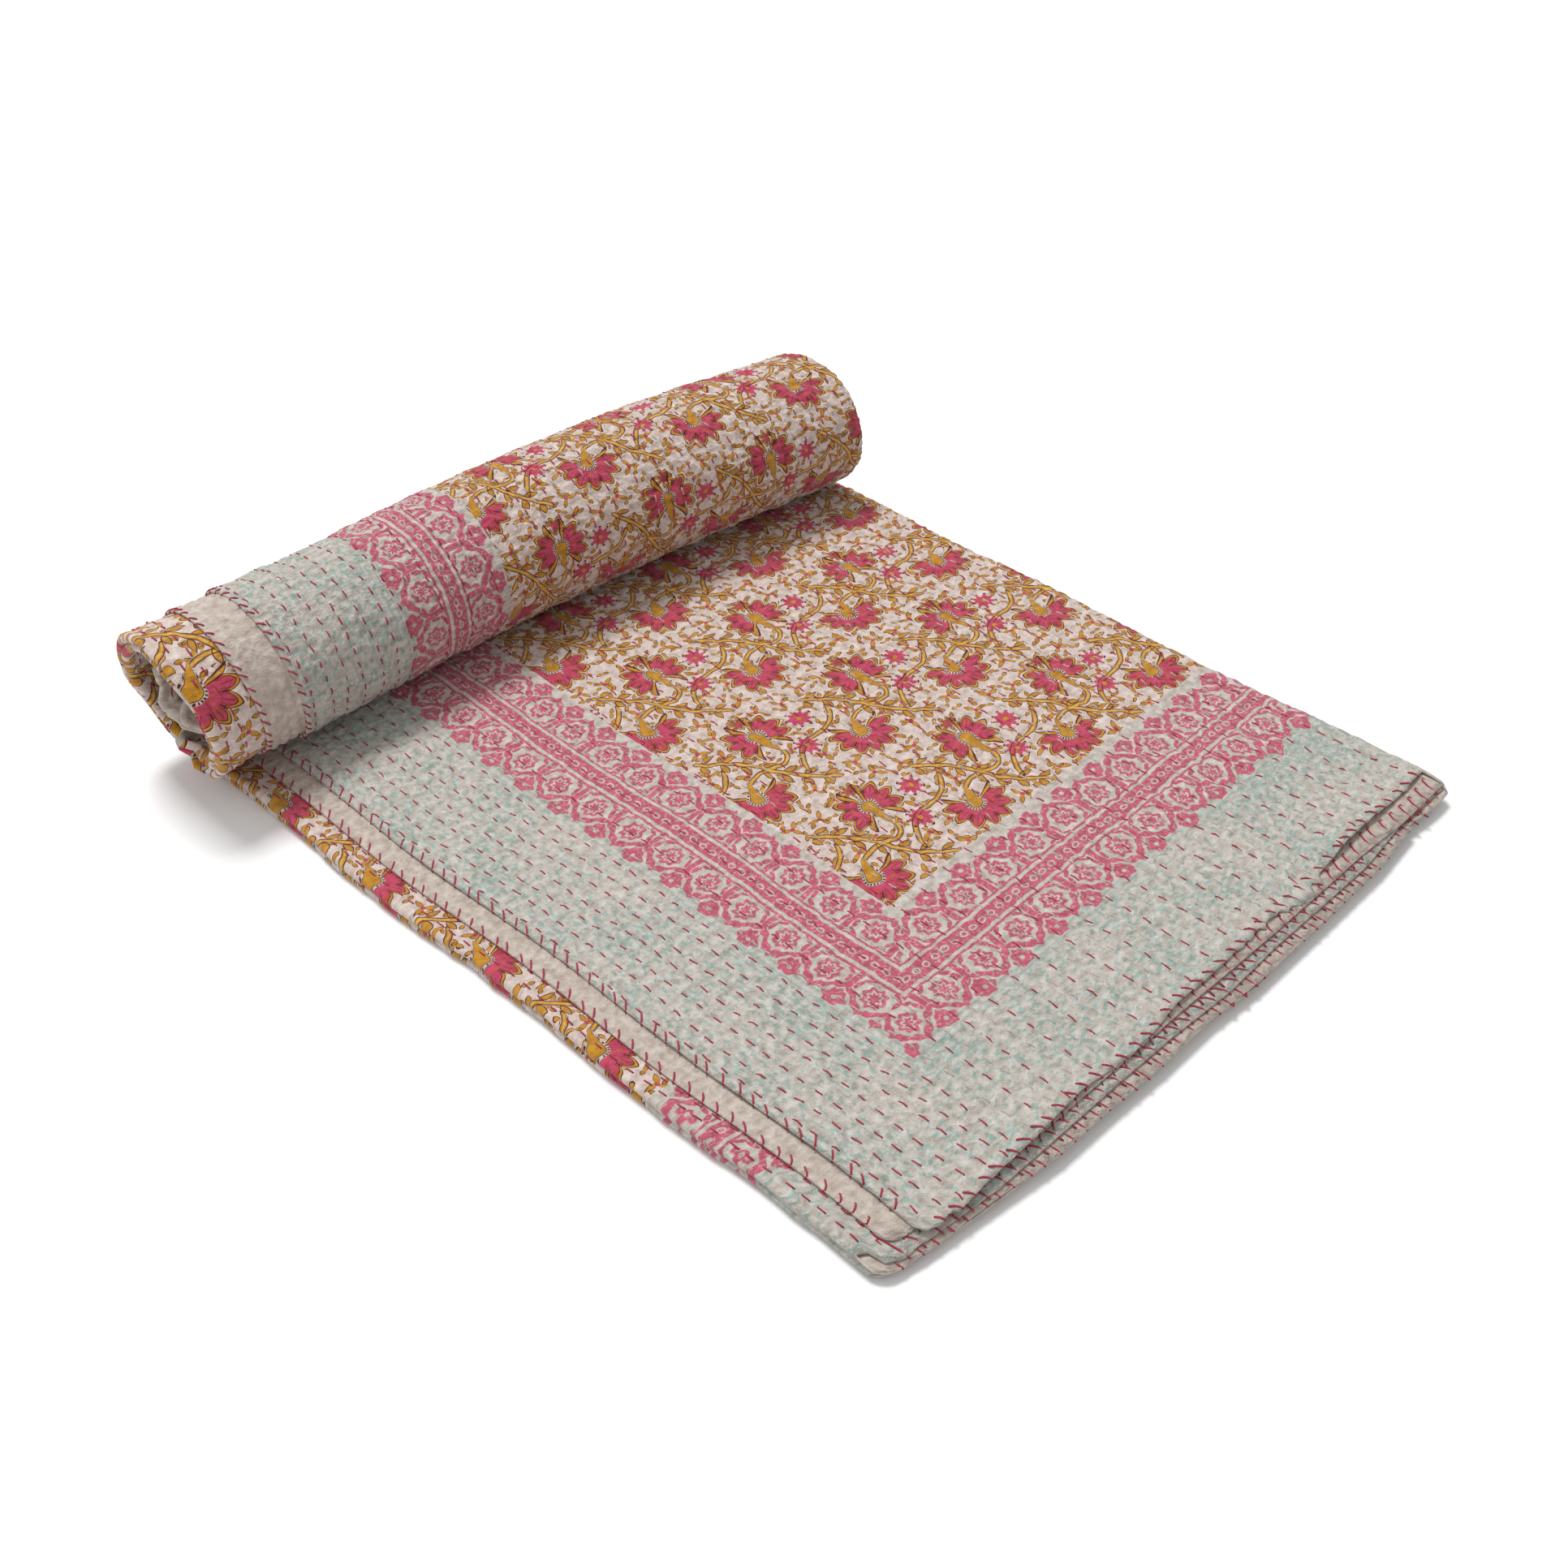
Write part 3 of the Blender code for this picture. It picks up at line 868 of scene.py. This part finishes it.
def top_lift(u, along):
    v = page_length(along)
    shown = 1 - smooth((u - RIGHT_TURN) / OUTER_TURN)
    slack = 0.6 + 0.55 * ripples(u, 0 * u, 0.150, 61)
    raised = HEM_SLACK * slack * np.exp(-(((v - FRONT_EDGE) / 0.017) ** 2))
    slack = 0.5 + 0.5 * ripples(v, 0 * v, 0.170, 62)
    raised = raised + HEM_SLACK / 2 * slack * np.exp(-((u / 0.014) ** 2)) * smooth((0.5 - v) / 0.1)
    quilted = (relief(u, v, 1) + creases(u, v)) * (1 - smooth(along / 0.1))
    return (quilted + raised) * shown + hem_curl(u, v, 0.0, FRONT_EDGE)


def outside_lift(u, along):
    arc = OUTSIDE_ARC * along
    shown = 1 - smooth((u - RIGHT_TURN) / OUTER_TURN)
    shown = shown * smooth((along - 0.03) / 0.1) * (1 - smooth((along - 0.93) / 0.1))
    pleats = ridges(u, arc, 43) * smooth((0.055 - u) / 0.030) * smooth((u - 0.003) / 0.004)
    return (relief(u, arc, 4) + pleats) * shown + hem_curl(u, 1.0, 0.0, 0.0)


def no_lift(u, along):
    return 0 * u


def page_border(u, along):
    """How far a point is from the nearer side hem, and from the front hem."""
    return np.minimum(u, CLOTH_WIDTH - u), page_length(along)


def upper_lattice(u, along, turned):
    return u, page_length(along)


def outside_x(u, along):
    """Where the roll's outside has the cloth, across the quilt."""
    narrowed = RIGHT_TURN - (RIGHT_TURN - u) * (RIGHT_TURN - LOWER_HEMS[0]) / RIGHT_TURN
    x = np.where(u < RIGHT_TURN, narrowed, u)
    return x + aside(x, np.maximum(along, 0))


def outside_border(u, along):
    """The border on the roll's outside, its repeat drawn out and set to fall as in the photo."""
    beside = 0.5027 + (OUTSIDE_ARC * along - 0.249) * MOTIF / ROLL_SCALE
    return outside_x(u, along) - ROLL_SHIFT, beside


def outside_lattice(u, along, turned):
    """The flowers on the roll's outside, the other way up and set to fall as in the photo."""
    return 0.2985 + (outside_x(u, along) - 0.290) * 1.03, 0.460 - OUTSIDE_ARC * along


def inner_lattice(u, along, turned):
    """The flowers on the inner runs, on from the upper page round its end into the lower one."""
    page = page_length(along)
    length = np.where(turned > math.pi / 2, CLOTH_LENGTH - page, page)
    between = (turned > 0) & (turned < math.pi)
    length = np.where(between, PAGE + FOLD_LENGTH * turned / math.pi, length)
    return u - START_C + 0.18965, length - 0.022


def inner_lift(u, along):
    """The folds on the left swell a little, unevenly, and pleat on the roll as its hem does."""
    length = page_length(along)
    from_fold = (u - (START_C - INNER_TURN / 2)) / FOLD_PUFF_WIDTH
    uneven = 1 + 0.45 * ripples(u, length, 0.070, 9)
    uneven = uneven * smooth((length - FRONT_EDGE) / 0.030)
    wrinkles = 0.00035 * ripples(u, length, 0.020, 10) * np.exp(-((from_fold / 2) ** 2))
    hem = CLOTH_WIDTH - u
    on_roll = smooth(along / 0.1)
    pleats = ridges(hem, length, 40) * smooth((0.040 - hem) / 0.010)
    fold = ridges(u, length, 45) * smooth((0.030 - abs(u - START_C + 0.004)) / 0.012)
    pleats = pleats * (0.4 + 1.0 * on_roll) + fold * 0.8 * on_roll
    pleats = pleats * smooth((hem - 0.002) / 0.004)
    return FOLD_PUFF * uneven * np.exp(-(from_fold**2)) + wrinkles + pleats


def make_sheet(materials):
    """The printed faces in view finely, the inner folds, and coarsely what lies hidden."""
    pieces = {}

    def add(name, *parts):
        pieces[name] = strip(name, *parts, materials)

    ends = (8, START_B, 8, START_B + SIDE_LAP)
    flat = along_at(spread(FRONT_EDGE, 59, FRONT_BORDER, 146, FLAT_LENGTH + FRONT_EDGE))
    along = np.concatenate([flat, spread(0.0, 12, TOP_END)[1:]])
    columns = spread(0.0, 59, BORDER, 121, RIGHT_TURN, *ends)
    add("top_face", columns, along, 0 * along, top_lift, page_border, upper_lattice)

    along = spread(ROLL_END, 214, UNDER_LAP)
    border_end = RIGHT_TURN - (RIGHT_TURN - BORDER - ROLL_SHIFT) * RIGHT_TURN / (
        RIGHT_TURN - LOWER_HEMS[0])
    columns = spread(0.0, 62, border_end, 132, RIGHT_TURN, *ends)
    add("roll_face", columns, along, 0 * along + math.pi, outside_lift,
        outside_border, outside_lattice)

    columns = spread(0.0, 14, 0.10, 14, RIGHT_TURN, 8, START_B, 4, START_B + SIDE_LAP)
    onward, back = spread(TOP_END, 94, TURNS), spread(TURNS, 60, ROLL_END)
    end_turns = spread(0.0, 10, math.pi)[1:-1]
    along = np.concatenate([onward, 0 * end_turns + TURNS, back])
    turned = np.concatenate([0 * onward, end_turns, 0 * back + math.pi])
    add("inner_face", columns, along, turned, no_lift, page_border, inner_lattice)
    along = spread(UNDER_LAP, 60, -1.0)
    add("under_face", columns, along, 0 * along + math.pi, no_lift, page_border, inner_lattice)

    page = np.concatenate([spread(-1.0, 60, 0.0), spread(0.0, 98, TURNS)[1:]])
    along = np.concatenate([page, 0 * end_turns + TURNS, page[::-1]])
    turned = np.concatenate([0 * page, end_turns, 0 * page + math.pi])
    left = START_B + RUN_WIDTH
    columns = spread(START_B + SIDE_LAP, 10, left - 0.032, 18, left, 8, START_C,
                     18, START_C + 0.032, 10, START_C + RUN_WIDTH, 8, START_D,
                     10, CLOTH_WIDTH - 0.044, 34, CLOTH_WIDTH)
    add("inner_folds", columns, along, turned, inner_lift, page_border, inner_lattice)
    return pieces


# ------------------------------ stitches
THREAD_SIDES = 5
STITCH_RINGS = np.array([-1.0, -0.8, 0.0, 0.8, 1.0])  # along a stitch, from its middle
STITCH_RISE = np.array([-0.0007, 0.0001, 0.0003, 0.0001, -0.0007])
WHIP_IN = np.array([0.0054, 0.0049, 0.0030, 0.0006, -0.0006, 0.0008, 0.0030])  # from the hem
WHIP_ON = np.array([0, 0.08, 0.45, 0.85, 1, 1.1, 1.2])  # along it, in shares of its slant
WHIP_SIDE = np.array([1.0, 1.0, 1.0, 0.6, 0.0, -0.8, -1.0])  # from the cloth's middle outwards
WHIP_RISE = np.array([-0.0005, 0.0002, 0.0004, 0.0004, 0.0, -0.0004, -0.0006])
FIRST_WHITE_ROW = 7  # every second row from here on is sewn in white


def threads(name, paths, outwards, radius, material):
    """Short lengths of thread along paths, tapered into the cloth at both ends."""
    count, rings, _ = paths.shape
    mesh, order = grid_mesh(count * rings, THREAD_SIDES + 1)
    heading = np.gradient(paths, axis=1)
    heading /= np.linalg.norm(heading, axis=2, keepdims=True)
    beside = np.cross(heading, outwards)
    beside /= np.linalg.norm(beside, axis=2, keepdims=True)
    above = np.cross(beside, heading)
    girth = np.full(rings, radius)
    girth[[0, -1]] = 0
    stitch, ring = order[:, 0] // rings, order[:, 0] % rings
    angle = math.tau * (order[:, 1:] % THREAD_SIDES) / THREAD_SIDES
    points = paths[stitch, ring] + girth[ring][:, None] * (
        np.cos(angle) * beside[stitch, ring] + np.sin(angle) * above[stitch, ring])
    for vertex, point in zip(mesh.verts, points):
        vertex.co = point
    between = [face for face in mesh.faces
               if len({stitch[vertex.index] for vertex in face.verts}) > 1]
    bmesh.ops.delete(mesh, geom=between, context="FACES")
    bmesh.ops.remove_doubles(mesh, verts=mesh.verts, dist=1e-7)
    bmesh.ops.recalc_face_normals(mesh, faces=mesh.faces)
    return as_piece(mesh, name, [material])


def sewn(cloth, along, turned, lift, sign=1):
    """Points of a thread on the cloth, and which way is out of the cloth there."""
    inner = folded(cloth, along, turned, lift)
    outer = folded(cloth, along, turned, lift + sign * 0.001)
    return inner, (outer - inner) / np.linalg.norm(outer - inner, axis=-1, keepdims=True)


def running_stitches(width, length, start, seed):
    """Where running stitches lie on a face: their cloth and length, ring by ring, and row."""
    rng = np.random.default_rng(seed)
    us, vs, rows = [], [], []
    for row in range(int(width / ROW_PITCH)):
        first = (math.ceil(start / STITCH_PITCH) + 0.5 - row * 2.4 / math.tau % 1) * STITCH_PITCH
        middles = np.arange(first, length - 0.006, STITCH_PITCH)
        middles = middles + rng.uniform(-0.0012, 0.0012, len(middles))
        half = STITCH_LENGTH / 2 * rng.uniform(0.8, 1.2, len(middles))
        v = middles[:, None] + half[:, None] * STITCH_RINGS
        slant = rng.uniform(-0.0004, 0.0004, len(middles))[:, None] * STITCH_RINGS
        us.append((row + 0.5) * ROW_PITCH + row_wander(v, row) + slant)
        vs.append(v)
        rows.append(np.full(len(middles), row))
    return np.concatenate(us), np.concatenate(vs), np.concatenate(rows)


def whip_stitches(hem, start, end, seed, kind, inward, side, lift):
    """Binding stitches over a hem: a slanted stitch on the side that shows, wrapped under."""
    rng = np.random.default_rng(seed)
    at = np.arange(start, end, WHIP_PITCH)
    at = at + rng.uniform(-0.0018, 0.0018, len(at))
    reach = rng.uniform(0.75, 1.15, len(at))[:, None]
    slant = rng.uniform(0.0046, 0.0074, len(at))[:, None]
    into = WHIP_IN * reach * (0.6 if kind == "roll" else 1)
    if kind == "front":
        u, v = at[:, None] - slant * (1 - WHIP_ON), hem + into
    else:
        u, v = hem + inward * into, at[:, None] + slant * (1 - WHIP_ON)
    along, turned = (v / OUTSIDE_ARC, math.pi) if kind == "roll" else (along_at(v), 0.0)
    out = side * (CLOTH / 2 * WHIP_SIDE + WHIP_RISE)
    return sewn(u, along, turned, lift(u, along) + out, side)


def make_stitches(pink, white):
    sewn_in = {"pink": [], "white": []}
    for length, start, seed, turned, lift, along_of in (
            (FLAT_LENGTH, 0.008, 11, 0.0, top_lift, along_at),
            (OUTSIDE_ARC * 0.97, 0.010, 12, math.pi, outside_lift, lambda v: v / OUTSIDE_ARC)):
        u, v, rows = running_stitches(RIGHT_TURN, length, start, seed)
        along = along_of(v)
        points = sewn(u, along, turned, CLOTH / 2 + lift(u, along) + STITCH_RISE)
        in_white = (rows >= FIRST_WHITE_ROW) & (rows % 2 == FIRST_WHITE_ROW % 2)
        for key, chosen in (("white", in_white), ("pink", ~in_white)):
            sewn_in[key].append([part[chosen] for part in points])
    turns = np.linspace(-1, TURNS, 400)
    for turned, seed in ((0.0, 13), (math.pi, 14)):  # the folds on the left, of both pages
        from_fold, v, _ = running_stitches(2 * ROW_PITCH, PAGE, 0.010, seed)
        u, along = START_C + 0.8 * from_fold, np.interp(v, page_length(turns), turns)
        points = sewn(u, along, turned, CLOTH / 2 + inner_lift(u, along) + STITCH_RISE)
        sewn_in["pink"].append(points)
    made = {}
    for key, material in (("pink", pink), ("white", white)):
        paths, outwards = (np.concatenate([part[at] for part in sewn_in[key]]) for at in (0, 1))
        made[key] = threads(key + "_running_stitches", paths, outwards, THREAD, material)
    side_end, roll_end, front = 0.615, OUTSIDE_ARC * 0.95, FRONT_EDGE
    whips = [whip_stitches(*hem) for hem in (
        # hem, start, end, seed, kind, inward, side, lift
        (0.0, 0.024, side_end, 21, "side", 1, 1, top_lift),
        (front, 0.016, 0.540, 22, "front", 1, 1, top_lift),
        (CLOTH_WIDTH, 0.024, side_end, 23, "side", -1, -1, no_lift),
        (front, START_D + 0.01, CLOTH_WIDTH - 0.016, 24, "front", 1, -1, no_lift),
        (front, START_C + 0.02, START_C + 0.55, 25, "front", 1, 1, no_lift),
        (0.0, 0.030, roll_end, 26, "roll", 1, 1, outside_lift),
        (CLOTH_WIDTH, 0.030, roll_end, 27, "roll", -1, -1, no_lift),
        (front, START_B + 0.03, START_B + 0.57, 28, "front", 1, 1, no_lift),
    )]
    paths, outwards = (np.concatenate([part[at] for part in whips]) for at in (0, 1))
    made["hem"] = threads("hem_stitches", paths, outwards, HEM_THREAD, pink)
    return made


# ------------------------------ room
FLOOR_HALF = 30.0  # half the floor's side
FLOOR_PAINT = (0.90, 0.90, 0.90, 1.0)
SKY = 0.55  # strength of the soft light from all round
LIGHTS = [
    # name, where, aimed at, size, watts
    ("key", (0.25, 2.0, 5.25), (0, 0, 0), 1.5, 228.0),
    ("fill", (-3.2, 0.4, 3.75), (0, 0, 0.05), 2.0, 20.0),
]
EYE = (-0.454, -0.337, 0.8158)  # the camera's place, in the folding's X and Y
EYE_DOWN = math.radians(41.7)  # how far it looks down
EYE_HEADING = (0.7193, 0.6947)  # and which way, along X and Y


def aimed(obj, place_at, ahead):
    """Puts a light or the camera in its place, looking ahead."""
    obj.location = place_at
    obj.rotation_euler = ahead.to_track_quat("-Z", "Y").to_euler()
    bpy.context.scene.collection.objects.link(obj)
    return obj


def make_room():
    grid = bmesh.new()
    bmesh.ops.create_grid(grid, x_segments=1, y_segments=1, size=FLOOR_HALF)
    paint = bpy.data.materials.new("floor_paint")
    paint.use_nodes = True
    shader = paint.node_tree.nodes["Principled BSDF"]
    shader.inputs["Base Color"].default_value = FLOOR_PAINT
    shader.inputs["Roughness"].default_value = 0.9
    floor = as_piece(grid, "floor", [paint])
    world = bpy.data.worlds.new("studio")
    world.use_nodes = True
    sky = world.node_tree.nodes["Background"].inputs
    sky["Color"].default_value = (1.0, 1.0, 1.0, 1.0)
    sky["Strength"].default_value = SKY
    bpy.context.scene.world = world
    bpy.context.scene.view_settings.view_transform = "Standard"
    for name, place_at, aim, size, power in LIGHTS:
        lamp = bpy.data.lights.new(name, "AREA")
        lamp.energy = power
        lamp.size = size
        aimed(bpy.data.objects.new(name, lamp), place_at, Vector(aim) - Vector(place_at))


def make_camera():
    data = bpy.data.cameras.new("camera")
    data.lens = 39.857
    data.sensor_width = 36.0
    data.shift_y = 0.02277
    data.clip_start, data.clip_end = 0.05, 30.0
    ahead = Vector((EYE_HEADING[0] * math.cos(EYE_DOWN), EYE_HEADING[1] * math.cos(EYE_DOWN),
                    -math.sin(EYE_DOWN)))
    bpy.context.scene.camera = aimed(bpy.data.objects.new("camera", data),
                                     (EYE[0] - MIDDLE[0], EYE[1] - MIDDLE[1], EYE[2]), ahead)


make_camera()
make_room()
made = make_sheet([floral_print(), border_print(), cream_cotton()])
made |= make_stitches(thread("pink_thread", THREAD_PINK), thread("white_thread", THREAD_WHITE))
for piece in made.values():
    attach(piece, "root")
    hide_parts("quilt")
